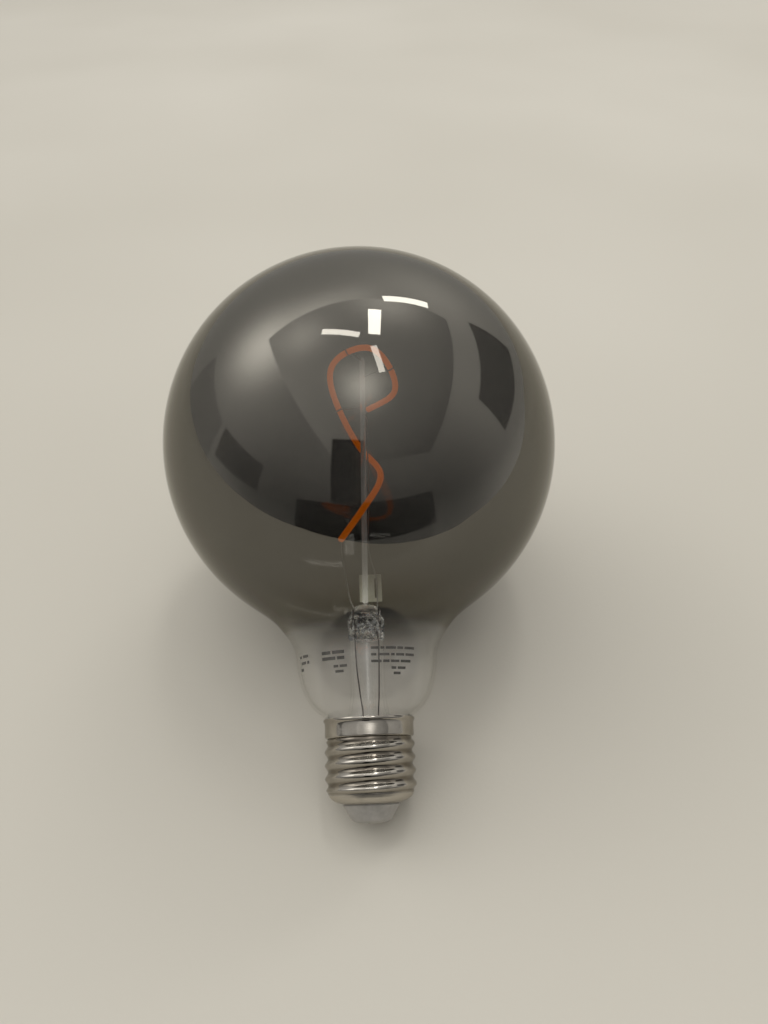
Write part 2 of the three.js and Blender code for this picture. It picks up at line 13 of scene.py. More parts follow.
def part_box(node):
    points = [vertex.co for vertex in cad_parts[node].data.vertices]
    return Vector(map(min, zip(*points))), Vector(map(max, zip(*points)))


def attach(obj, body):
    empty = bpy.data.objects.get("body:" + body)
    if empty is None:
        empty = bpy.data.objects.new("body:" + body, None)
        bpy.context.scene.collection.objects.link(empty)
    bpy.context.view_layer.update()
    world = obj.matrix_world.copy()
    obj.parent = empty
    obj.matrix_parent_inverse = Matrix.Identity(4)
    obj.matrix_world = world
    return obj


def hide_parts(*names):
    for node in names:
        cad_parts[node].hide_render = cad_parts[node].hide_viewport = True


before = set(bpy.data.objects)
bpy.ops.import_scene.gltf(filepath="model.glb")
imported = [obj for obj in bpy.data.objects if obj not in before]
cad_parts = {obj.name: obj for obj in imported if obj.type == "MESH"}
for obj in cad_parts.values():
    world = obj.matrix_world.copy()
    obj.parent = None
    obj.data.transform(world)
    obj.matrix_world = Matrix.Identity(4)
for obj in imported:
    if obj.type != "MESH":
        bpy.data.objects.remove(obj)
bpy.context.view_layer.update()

MM = 0.001


# ---------------------------------------------------------------- sizes read from the frame

GLASS_LOW, GLASS_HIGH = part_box("glass_envelope")
_, SHELL_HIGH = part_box("screw_shell")
PINCH_LOW, PINCH_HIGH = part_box("pinch_seal")
_, FLARE_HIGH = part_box("stem_flare")
EXHAUST_LOW, EXHAUST_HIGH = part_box("exhaust_tube")
ROD_LOW, ROD_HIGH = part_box("centre_rod")


# ---------------------------------------------------------------- driving dimensions, in millimetres

# Envelope
GLOBE_RADIUS = 62.5
GLOBE_Z = GLASS_HIGH.z / MM - GLOBE_RADIUS
ENVELOPE_WALL = 0.8
NECK_TUBE_RADIUS = 11.3
NECK_MOUTH_Z = GLASS_LOW.z / MM
NECK_BELLY_RADIUS = 20.5
NECK_BELLY_Z = 41.5
GLOBE_JOIN_RADIUS = 35.9

# Segments round the globe and the shell, and the bend that still counts as smooth, in degrees.
ROUND_SEGMENTS = 192
SMOOTH_ANGLE = 35.0

# The smoked coating is full above the one height and gone below the other.
COAT_FULL_Z = 66.5
COAT_GONE_Z = 51.5

# The least and most of the light that the full coating stops, and the share that its polish reflects.
COAT_COVER = (0.805, 0.835)
COAT_POLISH = 0.03

# Screw cap
CAP_HEIGHT = SHELL_HIGH.z / MM
RIM_LIP_RADIUS = SHELL_HIGH.x / MM
RIM_BAND_RADIUS = 13.0
THREAD_PITCH = 3.629
THREAD_CREST_RADIUS = 13.15
THREAD_ROOT_RADIUS = 12.25
THREAD_BOTTOM_Z = 8.0
THREAD_TOP_Z = 22.9
THREAD_FRONT_CREST_Z = 20.1
SHELL_WALL = 0.4
SHOULDER_Z = 5.2
SHOULDER_RADIUS = 8.1

# Insulator, and the contact in its well
INSULATOR_BORE_RADIUS = 1.3
INSULATOR_WELL_RADIUS = 3.65
INSULATOR_WELL_Z = 0.9
INSULATOR_TIP_RADIUS = 4.4
INSULATOR_TIP_Z = 0.2
INSULATOR_CONE_FOOT_RADIUS = 5.78
INSULATOR_CONE_RADIUS = 7.95
INSULATOR_CONE_Z = 4.55
INSULATOR_NECK_RADIUS = 7.8
INSULATOR_SEAT_RADIUS = 9.1
INSULATOR_TOP_Z = 7.6
CONTACT_RADIUS = 3.4
CONTACT_THICKNESS = 0.6
CONTACT_PIN_RADIUS = 0.95
CONTACT_PIN_TOP_Z = 9.0

# Stem
PINCH_BOTTOM_Z = PINCH_LOW.z / MM
PINCH_TOP_Z = PINCH_HIGH.z / MM
PINCH_HALF_WIDTH = PINCH_HIGH.x / MM
FLARE_RADIUS = 5.2
FLARE_WALL = 0.8
FLARE_TOP_Z = FLARE_HIGH.z / MM
EXHAUST_RADIUS = EXHAUST_HIGH.x / MM
EXHAUST_WALL = 0.7
EXHAUST_TIP_Z = EXHAUST_LOW.z / MM
ROD_RADIUS = 0.9
ROD_FOOT_Z = ROD_LOW.z / MM
ROD_TOP_Z = ROD_HIGH.z / MM
ROD_TOP_X = 1.5
ROD_CLEARNESS = 0.7
ROD_GLOW = 0.08

# Wires and filament
LEAD_RADIUS = 0.22
SUPPORT_RADIUS = 0.25
FILAMENT_RADIUS = 1.0
FILAMENT_CORE_RADIUS = 0.3
CHIP_PITCH = 1.1
# The unlit filament's orange emission is painted light, standing in for room light that reaches it through
# the smoked glass.
FILAMENT_PAINTED_GLOW = 0.8
LEFT_SEAL_X = -3.5
RIGHT_SEAL_X = 3.7

# Camera, in metres and degrees
CAMERA_PLACE = Vector((0.0036, -0.2335, 0.0153))
CAMERA_TILT_UP = 18.19
CAMERA_YAW = -0.805
CAMERA_ROLL = -2.33
CAMERA_LENS = 27.04
CAMERA_SENSOR = 36.0


# ---------------------------------------------------------------- curves

def blend_points(a, b, share):
    return [p + (q - p) * share for p, q in zip(a, b)]


def gap_between(a, b):
    return math.dist(a, b) ** 0.5


def smooth_path(points, steps):
    """Points along a centripetal Catmull-Rom curve through the given ones, in any number of dimensions."""
    before = [2 * p - q for p, q in zip(points[0], points[1])]
    after = [2 * p - q for p, q in zip(points[-1], points[-2])]
    knots = [before, *points, after]
    path = []
    for i in range(len(points) - 1):
        p0, p1, p2, p3 = knots[i:i + 4]
        t1 = gap_between(p0, p1)
        t2 = t1 + gap_between(p1, p2)
        t3 = t2 + gap_between(p2, p3)
        last = i == len(points) - 2
        for k in range(steps + (1 if last else 0)):
            t = t1 + (t2 - t1) * k / steps
            a1 = blend_points(p0, p1, t / t1)
            a2 = blend_points(p1, p2, (t - t1) / (t2 - t1))
            a3 = blend_points(p2, p3, (t - t2) / (t3 - t2))
            b1 = blend_points(a1, a2, t / t2)
            b2 = blend_points(a2, a3, (t - t1) / (t3 - t1))
            path.append(tuple(blend_points(b1, b2, (t - t1) / (t2 - t1))))
    return path


def smoothstep(low, high, value):
    share = min(max((value - low) / (high - low), 0.0), 1.0)
    return share * share * (3 - 2 * share)


# ---------------------------------------------------------------- meshes

def new_mesh_object(name, vertices, faces, material, smooth=True):
    """A piece made from vertices in millimetres. Its edges are smooth where they bend only a little."""
    mesh = bpy.data.meshes.new(name)
    mesh.from_pydata([[c * MM for c in v] for v in vertices], [], faces)
    mesh.polygons.foreach_set("use_smooth", [smooth] * len(mesh.polygons))
    mesh.set_sharp_from_angle(angle=math.radians(SMOOTH_ANGLE))
    mesh.materials.append(material)
    mesh.update()
    piece = bpy.data.objects.new(name, mesh)
    bpy.context.collection.objects.link(piece)
    return piece


def turned(name, outline, material, segments=128, closed=False, shape=None):
    """Turns an outline of (radius, z) about Z. It runs up its outer side, and ends on the axis or closes.

    shape(x, y, z) may move each vertex.
    """
    vertices, faces, rows = [], [], []
    for radius, z in outline:
        if radius <= 0:
            rows.append([len(vertices)] * segments)
            vertices.append((0.0, 0.0, z))
            continue
        rows.append(list(range(len(vertices), len(vertices) + segments)))
        for i in range(segments):
            angle = 2 * math.pi * i / segments
            place = (radius * math.sin(angle), -radius * math.cos(angle), z)
            vertices.append(shape(*place) if shape else place)
    pairs = list(zip(rows, rows[1:]))
    if closed:
        pairs.append((rows[-1], rows[0]))
    for lower, upper in pairs:
        for i in range(segments):
            j = (i + 1) % segments
            ring = [lower[i], lower[j], upper[j], upper[i]]
            face = [v for k, v in enumerate(ring) if v != ring[k - 1]]
            if len(face) > 2:
                faces.append(face)
    return new_mesh_object(name, vertices, faces, material)


def frames_along(path):
    """A direction and two steady cross directions at each point of a path."""
    points = [Vector(p) for p in path]
    count = len(points)
    ways = [(points[min(i + 1, count - 1)] - points[max(i - 1, 0)]).normalized() for i in range(count)]
    side = ways[0].orthogonal().normalized()
    frames = []
    for way in ways:
        side = (side - way * side.dot(way)).normalized()
        frames.append((way, side, way.cross(side)))
    return points, frames


def swept(name, path, radius, material, sides=16, waist=None):
    """A round bar along a path in millimetres, with domed ends. Its UV runs in millimetres along the path.

    waist(length) may scale the radius.
    """
    points, frames = frames_along(path)
    lengths = [0.0]
    for a, b in zip(points, points[1:]):
        lengths.append(lengths[-1] + (b - a).length)
    rings = [(p, f, at, waist(at) if waist else 1.0) for p, f, at in zip(points, frames, lengths)]
    for k in range(3, 0, -1):
        lean = math.pi / 2 * k / 4
        bulge, shrink = 0.6 * radius * math.cos(lean), math.sin(lean)
        rings.insert(0, (points[0] - frames[0][0] * bulge, frames[0], 0.0, shrink))
        rings.append((points[-1] + frames[-1][0] * bulge, frames[-1], lengths[-1], shrink))
    vertices, faces = [], []
    for centre, (_, side, over), _, scale in rings:
        for k in range(sides):
            angle = 2 * math.pi * k / sides
            vertices.append(centre + (side * math.cos(angle) + over * math.sin(angle)) * (radius * scale))
    for r in range(len(rings) - 1):
        for k in range(sides):
            a, b = r * sides + k, r * sides + (k + 1) % sides
            faces.append([a, b, b + sides, a + sides])
    faces.append(list(range(sides))[::-1])
    faces.append([(len(rings) - 1) * sides + k for k in range(sides)])
    piece = new_mesh_object(name, vertices, faces, material)
    uv = piece.data.uv_layers.new(name="along")
    for loop in piece.data.loops:
        ring, k = divmod(loop.vertex_index, sides)
        uv.data[loop.index].uv = (rings[ring][2], k / sides)
    return piece


def settle(piece, slot, *nodes):
    """Rides the piece on the bulb, and hides the nodes that it stands for. Its slot is not used."""
    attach(piece, "root")
    if nodes:
        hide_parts(*nodes)


# ---------------------------------------------------------------- material helpers

class Nodes:
    """A small helper that adds nodes to one node tree and links them."""

    def __init__(self, tree):
        self.tree = tree
        self.tree.nodes.clear()

    def add(self, kind, inputs=None, **settings):
        node = self.tree.nodes.new(kind)
        for key, value in settings.items():
            setattr(node, key, value)
        for key, value in (inputs or {}).items():
            self.give(node.inputs[key], value)
        return node

    def give(self, socket, value):
        if isinstance(value, bpy.types.NodeSocket):
            self.tree.links.new(value, socket)
        else:
            socket.default_value = value

    def math(self, operation, a, b=0.0):
        return self.add("ShaderNodeMath", {0: a, 1: b}, operation=operation).outputs[0]

    def plus(self, a, b):
        return self.math("ADD", a, b)

    def times(self, a, b):
        return self.math("MULTIPLY", a, b)

    def rest(self, value):
        return self.math("SUBTRACT", 1.0, value)

    def spread(self, value, low, high, to_low=0.0, to_high=1.0, smooth=False):
        """Maps a value from one range to another, and holds it at the ends."""
        inputs = {"Value": value, "From Min": low, "From Max": high, "To Min": to_low, "To Max": to_high}
        kind = "SMOOTHSTEP" if smooth else "LINEAR"
        return self.add("ShaderNodeMapRange", inputs, interpolation_type=kind).outputs["Result"]

    def ramp(self, value, stops):
        node = self.add("ShaderNodeValToRGB", {"Fac": value})
        elements = node.color_ramp.elements
        while len(elements) < len(stops):
            elements.new(0.5)
        for element, (position, colour) in zip(elements, stops):
            element.position = position
            element.color = (*colour, 1.0)
        return node.outputs["Color"]


class Shading(Nodes):
    """The nodes of one new material."""

    def __init__(self, name):
        self.material = bpy.data.materials.new(name)
        self.material.use_nodes = True
        super().__init__(self.material.node_tree)
        self.output = self.add("ShaderNodeOutputMaterial")

    def principled(self, **inputs):
        named = {key.replace("_", " "): value for key, value in inputs.items()}
        return self.add("ShaderNodeBsdfPrincipled", named)

    def place(self):
        return self.add("ShaderNodeTexCoord").outputs["Object"]

    def height(self):
        return self.add("ShaderNodeSeparateXYZ", {0: self.place()}).outputs["Z"]

    def noise(self, scale, detail=3.0, roughness=0.5, vector=None):
        """Soft noise with about `scale` cells to the metre."""
        inputs = {"Scale": scale, "Detail": detail, "Roughness": roughness, "Vector": vector or self.place()}
        return self.add("ShaderNodeTexNoise", inputs).outputs["Fac"]

    def bump(self, height, strength, distance):
        """A normal tilted by the height. The distance is the relief in metres."""
        inputs = {"Height": height, "Strength": strength, "Distance": distance}
        return self.add("ShaderNodeBump", inputs).outputs["Normal"]

    def facing(self):
        """0 where the surface is seen square on, and 1 at its edge."""
        return self.add("ShaderNodeLayerWeight", {"Blend": 0.5}).outputs["Facing"]

    def polish_reflection(self, square_on):
        """The share of light that bare glass reflects: a little square on, and all of it at the edge."""
        return self.spread(self.math("POWER", self.facing(), 5.0), 0.0, 1.0, square_on, 1.0)

    def finish(self, shader):
        self.tree.links.new(shader.outputs[0], self.output.inputs["Surface"])
        return self.material


# ---------------------------------------------------------------- materials

# A polished skin darkens a little just inside its silhouette.
EDGE_TINT = (0.85, 0.84, 0.81, 1.0)


def smoked_glass():
    """A half-mirror coating on clear glass. It thins out down the neck, through a warm brown."""
    s = Shading("smoked_glass")
    coat = s.spread(s.height(), COAT_GONE_Z * MM, COAT_FULL_Z * MM, smooth=True)
    cover = s.spread(s.noise(22.0, detail=2.0), 0.3, 0.7, *COAT_COVER)
    open_share = s.times(s.rest(s.times(coat, cover)), s.rest(s.polish_reflection(COAT_POLISH)))
    colour = s.ramp(coat, [
        (0.0, (0.95, 0.95, 0.94)),
        (0.06, (0.24, 0.20, 0.12)),
        (0.3, (0.16, 0.14, 0.09)),
        (0.7, (0.152, 0.139, 0.114)),
        (1.0, (0.140, 0.133, 0.117)),
    ])
    smears = s.spread(s.noise(35.0, detail=4.0), 0.35, 0.75, 0.015, 0.045)
    shader = s.principled(Metallic=1.0, Base_Color=colour, Roughness=smears, Specular_Tint=EDGE_TINT,
                          Alpha=s.rest(open_share))
    return s.finish(shader)


def thin_glass(name, square_on, streak=0.0):
    """Clear glass as a see-through polished skin. Its draw streaks run along the bulb."""
    s = Shading(name)
    along = s.add("ShaderNodeMapping", {"Vector": s.place(), "Scale": (1.0, 1.0, 0.06)}).outputs[0]
    streaks = s.noise(700.0, detail=2.0, vector=along)
    rough = s.spread(streaks, 0.3, 0.7, 0.015, 0.035)
    shader = s.principled(Metallic=1.0, Base_Color=(0.95, 0.96, 0.94, 1.0), Roughness=rough,
                          Specular_Tint=EDGE_TINT, Alpha=s.polish_reflection(square_on),
                          Normal=s.bump(streaks, strength=1.0, distance=streak))
    return s.finish(shader)


def solid_glass(name, pattern, relief, clearness=1.0, glow=0.0):
    """Solid clear glass that bends what is behind it. The pattern makes its relief.

    A weak glow stands for the light that a mirrored globe gathers onto the glass inside it.
    """
    s = Shading(name)
    if pattern == "facets":
        cells = s.add("ShaderNodeTexVoronoi", {"Vector": s.place(), "Scale": 330.0}).outputs["Distance"]
        dome = s.spread(s.height(), (PINCH_TOP_Z - 4.2) * MM, (PINCH_TOP_Z - 2.8) * MM, 1.0, 0.1)
        height = s.times(cells, dome)
    else:
        height = s.noise(60.0, detail=3.0)
    shader = s.principled(Base_Color=(0.95, 0.96, 0.93, 1.0), Roughness=0.01, IOR=1.5,
                          Transmission_Weight=clearness, Normal=s.bump(height, strength=1.0, distance=relief),
                          Emission_Color=(1.0, 0.97, 0.90, 1.0), Emission_Strength=glow)
    lamp_ray = s.add("ShaderNodeLightPath").outputs["Is Shadow Ray"]
    clear = s.add("ShaderNodeBsdfTransparent", {"Color": (0.9, 0.92, 0.9, 1.0)})
    mix = s.add("ShaderNodeMixShader", {0: lamp_ray, 1: shader.outputs[0], 2: clear.outputs[0]})
    return s.finish(mix)


def nickel_plate():
    """Bright plate on rolled sheet, with fine rolling lines and small dents.

    Painted shade darkens the thread's roots, as ambient occlusion would there. The shoulder below the thread
    is duller, and is kept out of that painted shade.
    """
    s = Shading("nickel_plate")
    squeezed = s.add("ShaderNodeMapping", {"Vector": s.place(), "Scale": (0.05, 0.05, 1.0)}).outputs[0]
    lines = s.noise(3200.0, detail=2.0, vector=squeezed)
    marks = s.noise(160.0, detail=5.0, roughness=0.6)
    dents = s.noise(260.0, detail=1.0)
    flat = s.add("ShaderNodeMapping", {"Vector": s.place(), "Scale": (1.0, 1.0, 0.0)}).outputs[0]
    radius = s.add("ShaderNodeVectorMath", {0: flat}, operation="LENGTH").outputs["Value"]
    # This mask is 0 in the thread's roots, where the plate gets painted shade, and lifts the tone towards the
    # crests and on the shoulder.
    clear_of_painted_shade = s.spread(radius, THREAD_ROOT_RADIUS * MM, (THREAD_ROOT_RADIUS + 0.5) * MM, 0.0, 0.5, smooth=True)
    worn = s.spread(s.height(), (THREAD_BOTTOM_Z - 0.4) * MM, (THREAD_BOTTOM_Z + 0.6) * MM, 1.0, 0.0)
    clear_of_painted_shade = s.plus(clear_of_painted_shade, s.times(worn, 0.7))
    tone = s.ramp(s.plus(clear_of_painted_shade, s.times(marks, 0.6)), [
        (0.2, (0.15, 0.13, 0.105)),
        (0.6, (0.29, 0.268, 0.230)),
        (0.9, (0.41, 0.385, 0.345)),
        (1.0, (0.52, 0.485, 0.43)),
    ])
    rough = s.plus(s.spread(marks, 0.3, 0.8, 0.07, 0.20), s.times(worn, 0.26))
    height = s.plus(dents, s.times(lines, 0.12))
    shader = s.principled(Metallic=1.0, Base_Color=tone, Roughness=rough, Specular_Tint=EDGE_TINT,
                          Normal=s.bump(height, strength=0.6, distance=0.00014))
    return s.finish(shader)


def insulator_body():
    s = Shading("insulator_body")
    mottle = s.noise(500.0, detail=4.0)
    tone = s.ramp(mottle, [(0.3, (0.35, 0.335, 0.31)), (0.7, (0.45, 0.43, 0.40))])
    rough = s.spread(mottle, 0.3, 0.7, 0.38, 0.55)
    shader = s.principled(Base_Color=tone, Roughness=rough,
                          Normal=s.bump(mottle, strength=0.4, distance=0.0001))
    return s.finish(shader)


def drawn_wire(name, dark, light, roughness):
    """Metal wire with a streaky, slightly oxidised skin."""
    s = Shading(name)
    streaks = s.noise(900.0, detail=3.0)
    tone = s.ramp(streaks, [(0.3, dark), (0.75, light)])
    rough = s.spread(streaks, 0.3, 0.8, roughness, roughness + 0.2)
    shader = s.principled(Metallic=1.0, Base_Color=tone, Roughness=rough,
                          Normal=s.bump(streaks, strength=0.3, distance=0.00004))
    return s.finish(shader)


def phosphor_silicone():
    """Translucent orange silicone over a row of small chips, which show as paler beads along it."""
    s = Shading("phosphor_silicone")
    uv = s.add("ShaderNodeUVMap", uv_map="along").outputs[0]
    along = s.add("ShaderNodeSeparateXYZ", {0: uv}).outputs["X"]
    beat = s.math("SINE", s.times(along, 2 * math.pi / CHIP_PITCH))
    grain = s.noise(1500.0, detail=2.0)
    mixed = s.plus(s.times(beat, 0.12), grain)
    tone = s.ramp(mixed, [
        (0.3, (0.82, 0.19, 0.004)),
        (0.55, (0.93, 0.26, 0.008)),
        (0.75, (0.95, 0.36, 0.02)),
    ])
    rough = s.spread(grain, 0.3, 0.7, 0.35, 0.5)
    shader = s.principled(Base_Color=tone, Roughness=rough, Subsurface_Weight=0.25,
                          Subsurface_Radius=(0.9, 0.35, 0.08), Subsurface_Scale=0.0006,
                          # Painted glow: this emission brightens the unlit filament.
                          Emission_Color=(1.0, 0.20, 0.0, 1.0), Emission_Strength=FILAMENT_PAINTED_GLOW,
                          Normal=s.bump(mixed, strength=0.3, distance=0.00006))
    return s.finish(shader)


def mottled(name, dark, light, roughness, scale=400.0, metallic=0.0, relief=0.00005):
    """A plain moulded, dipped or coated surface with fine mottling."""
    s = Shading(name)
    pattern = s.noise(scale, detail=4.0)
    tone = s.ramp(pattern, [(0.3, dark), (0.7, light)])
    rough = s.spread(pattern, 0.3, 0.7, roughness - 0.06, roughness + 0.08)
    shader = s.principled(Metallic=metallic, Base_Color=tone, Roughness=rough,
                          Normal=s.bump(pattern, strength=0.4, distance=relief))
    return s.finish(shader)


def floor_cloth():
    """Plain pale floor. Its back is clear, so that a view from behind still sees the bulb."""
    s = Shading("floor_cloth")
    soft = s.noise(3.0, detail=2.0)
    tone = s.ramp(soft, [(0.3, (0.585, 0.555, 0.485)), (0.7, (0.635, 0.605, 0.535))])
    fine = s.noise(900.0, detail=2.0)
    shader = s.principled(Base_Color=tone, Roughness=0.9, Normal=s.bump(fine, strength=0.15, distance=0.0002))
    back = s.add("ShaderNodeNewGeometry").outputs["Backfacing"]
    clear = s.add("ShaderNodeBsdfTransparent")
    mix = s.add("ShaderNodeMixShader", {0: back, 1: shader.outputs[0], 2: clear.outputs[0]})
    return s.finish(mix)


# ---------------------------------------------------------------- envelope

def envelope_outline(neck_steps, globe_steps):
    """The outer side of the envelope in millimetres, from the neck's mouth to the top of the globe."""
    join_angle = math.asin(GLOBE_JOIN_RADIUS / GLOBE_RADIUS)
    join_z = GLOBE_Z - GLOBE_RADIUS * math.cos(join_angle)
    neck = smooth_path([
        (NECK_TUBE_RADIUS, CAP_HEIGHT - 2.6),
        (NECK_TUBE_RADIUS + 1.1, CAP_HEIGHT - 0.2),
        (NECK_BELLY_RADIUS - 3.7, CAP_HEIGHT + 3.8),
        (NECK_BELLY_RADIUS - 1.4, NECK_BELLY_Z - 5.0),
        (NECK_BELLY_RADIUS, NECK_BELLY_Z),
        (NECK_BELLY_RADIUS + 0.9, NECK_BELLY_Z + 6.3),
        (GLOBE_JOIN_RADIUS - 12.4, join_z - 11.4),
        (GLOBE_JOIN_RADIUS - 7.8, join_z - 5.8),
        (GLOBE_JOIN_RADIUS, join_z),
    ], neck_steps)
    outline = [(NECK_TUBE_RADIUS, NECK_MOUTH_Z), *neck]
    for i in range(1, globe_steps + 1):
        angle = join_angle + (math.pi - join_angle) * i / globe_steps
        reach = 0.0 if i == globe_steps else GLOBE_RADIUS * math.sin(angle)
        outline.append((reach, GLOBE_Z - GLOBE_RADIUS * math.cos(angle)))
    return outline


def inside_of(outline, wall):
    """The outline moved inwards by the wall, square to itself."""
    moved = []
    last = len(outline) - 1
    for i, (radius, z) in enumerate(outline):
        before, after = outline[max(i - 1, 0)], outline[min(i + 1, last)]
        dr, dz = after[0] - before[0], after[1] - before[1]
        length = math.hypot(dr, dz)
        if i == last:
            moved.append((0.0, z - wall))
        elif i == 0:
            moved.append((radius - wall, z))
        else:
            moved.append((radius - dz / length * wall, z + dr / length * wall))
    return moved


def make_envelope():
    outside = envelope_outline(9, 90)
    inside = inside_of(outside, ENVELOPE_WALL)[::-1]
    piece = turned("globe_envelope", inside + outside, smoked_glass(), segments=ROUND_SEGMENTS)
    piece.data.materials.append(thin_glass("bare_glass_skin", 0.02))
    inner_faces = (len(inside) - 1) * ROUND_SEGMENTS
    for polygon in piece.data.polygons[:inner_faces]:
        polygon.material_index = 1
    settle(piece, "smoked_glass", "glass_envelope")
    return outside


# ---------------------------------------------------------------- screw cap

def thread_height(z, angle):
    crest_z = THREAD_FRONT_CREST_Z + THREAD_PITCH * angle / (2 * math.pi)
    wave = 0.5 + 0.5 * math.cos(2 * math.pi * (z - crest_z) / THREAD_PITCH)
    run_out = THREAD_PITCH / 3
    fade_in = smoothstep(THREAD_BOTTOM_Z, THREAD_BOTTOM_Z + run_out, z)
    fade_out = 1 - smoothstep(THREAD_TOP_Z - run_out, THREAD_TOP_Z, z)
    return (THREAD_CREST_RADIUS - THREAD_ROOT_RADIUS) * wave * fade_in * fade_out


def make_shell():
    """The rolled sheet shell: rounded shoulder, thread, plain band and a curled lip."""
    shoulder = smooth_path([
        (SHOULDER_RADIUS, SHOULDER_Z),
        (SHOULDER_RADIUS + 2.0, SHOULDER_Z + 0.6),
        (SHOULDER_RADIUS + 3.5, SHOULDER_Z + 1.6),
        (THREAD_ROOT_RADIUS, THREAD_BOTTOM_Z),
    ], 6)
    rows = 100
    span = THREAD_TOP_Z - THREAD_BOTTOM_Z
    thread = [(THREAD_ROOT_RADIUS, THREAD_BOTTOM_Z + span * i / rows) for i in range(1, rows + 1)]
    rim = smooth_path([
        (THREAD_ROOT_RADIUS + 0.35, THREAD_TOP_Z + 0.12),
        (RIM_BAND_RADIUS - 0.05, THREAD_TOP_Z + 0.45),
        (RIM_BAND_RADIUS, THREAD_TOP_Z + 0.9),
        (RIM_BAND_RADIUS, CAP_HEIGHT - 1.5),
        (RIM_BAND_RADIUS + 0.1, CAP_HEIGHT - 1.1),
        (RIM_LIP_RADIUS - 0.05, CAP_HEIGHT - 0.7),
        (RIM_LIP_RADIUS, CAP_HEIGHT - 0.3),
        (RIM_LIP_RADIUS - 0.12, CAP_HEIGHT),
    ], 4)
    outside = shoulder + thread + rim
    lip = [(RIM_LIP_RADIUS - SHELL_WALL, CAP_HEIGHT - 0.05)]
    inside = [(radius - SHELL_WALL, z + 0.1) for radius, z in reversed(outside[2:-3])]
    inside.append((SHOULDER_RADIUS, SHOULDER_Z + SHELL_WALL))

    def roll(x, y, z):
        if z < THREAD_BOTTOM_Z or z > THREAD_TOP_Z + 0.1:
            return (x, y, z)
        radius = math.hypot(x, y)
        grown = (radius + thread_height(z, math.atan2(x, -y))) / radius
        return (x * grown, y * grown, z)

    piece = turned("screw_shell_plate", outside + lip + inside, nickel_plate(), ROUND_SEGMENTS, True, roll)
    settle(piece, "nickel_shell", "screw_shell")


def make_insulator():
    """A cone with a well in its tip for the contact, and a seat that the shell's shoulder holds."""
    outline = [
        (INSULATOR_BORE_RADIUS, INSULATOR_WELL_Z),
        (INSULATOR_WELL_RADIUS, INSULATOR_WELL_Z),
        (INSULATOR_WELL_RADIUS + 0.07, INSULATOR_WELL_Z - 0.05),
        (INSULATOR_WELL_RADIUS + 0.1, INSULATOR_TIP_Z + 0.15),
        (INSULATOR_TIP_RADIUS - 0.5, INSULATOR_TIP_Z),
        (INSULATOR_TIP_RADIUS, INSULATOR_TIP_Z),
        (INSULATOR_CONE_FOOT_RADIUS - 0.18, INSULATOR_TIP_Z + 0.6),
        (INSULATOR_CONE_FOOT_RADIUS, INSULATOR_TIP_Z + 0.8),
        (INSULATOR_CONE_RADIUS, INSULATOR_CONE_Z),
        (INSULATOR_CONE_RADIUS + 0.15, INSULATOR_CONE_Z + 0.25),
        (INSULATOR_CONE_RADIUS + 0.1, INSULATOR_CONE_Z + 0.35),
        (INSULATOR_NECK_RADIUS, INSULATOR_CONE_Z + 0.37),
        (INSULATOR_NECK_RADIUS, INSULATOR_TOP_Z - 1.7),
        (INSULATOR_SEAT_RADIUS, INSULATOR_TOP_Z - 1.1),
        (INSULATOR_SEAT_RADIUS, INSULATOR_TOP_Z),
        (INSULATOR_BORE_RADIUS, INSULATOR_TOP_Z),
    ]
    piece = turned("cap_insulator", outline, insulator_body(), 96, True)
    bevel = piece.modifiers.new("edges", "BEVEL")
    bevel.width = 0.08 * MM
    bevel.segments = 2
    settle(piece, "insulator_ceramic", "insulator")


def make_contact():
    """A disc with a rounded edge, on a pin that takes the live wire."""
    outline = [
        (0.0, 0.0),
        (CONTACT_PIN_RADIUS - 0.05, 0.0),
        (CONTACT_RADIUS - 0.5, 0.0),
        (CONTACT_RADIUS - 0.25, 0.03),
        (CONTACT_RADIUS - 0.08, 0.14),
        (CONTACT_RADIUS, CONTACT_THICKNESS / 2),
        (CONTACT_RADIUS, CONTACT_THICKNESS),
        (CONTACT_PIN_RADIUS, CONTACT_THICKNESS),
        (CONTACT_PIN_RADIUS, CONTACT_PIN_TOP_Z),
        (0.0, CONTACT_PIN_TOP_Z),
    ]
    metal = mottled("contact_metal", (0.55, 0.53, 0.49), (0.68, 0.66, 0.62), 0.3, 700.0, 1.0)
    piece = turned("contact_disc", outline, metal, 64)
    settle(piece, "contact_metal", "centre_contact")


# ---------------------------------------------------------------- stem

def rod_x_at(z):
    """The rod leans a little to the right as it rises."""
    return ROD_TOP_X * (z - PINCH_TOP_Z) / (ROD_TOP_Z - PINCH_TOP_Z)


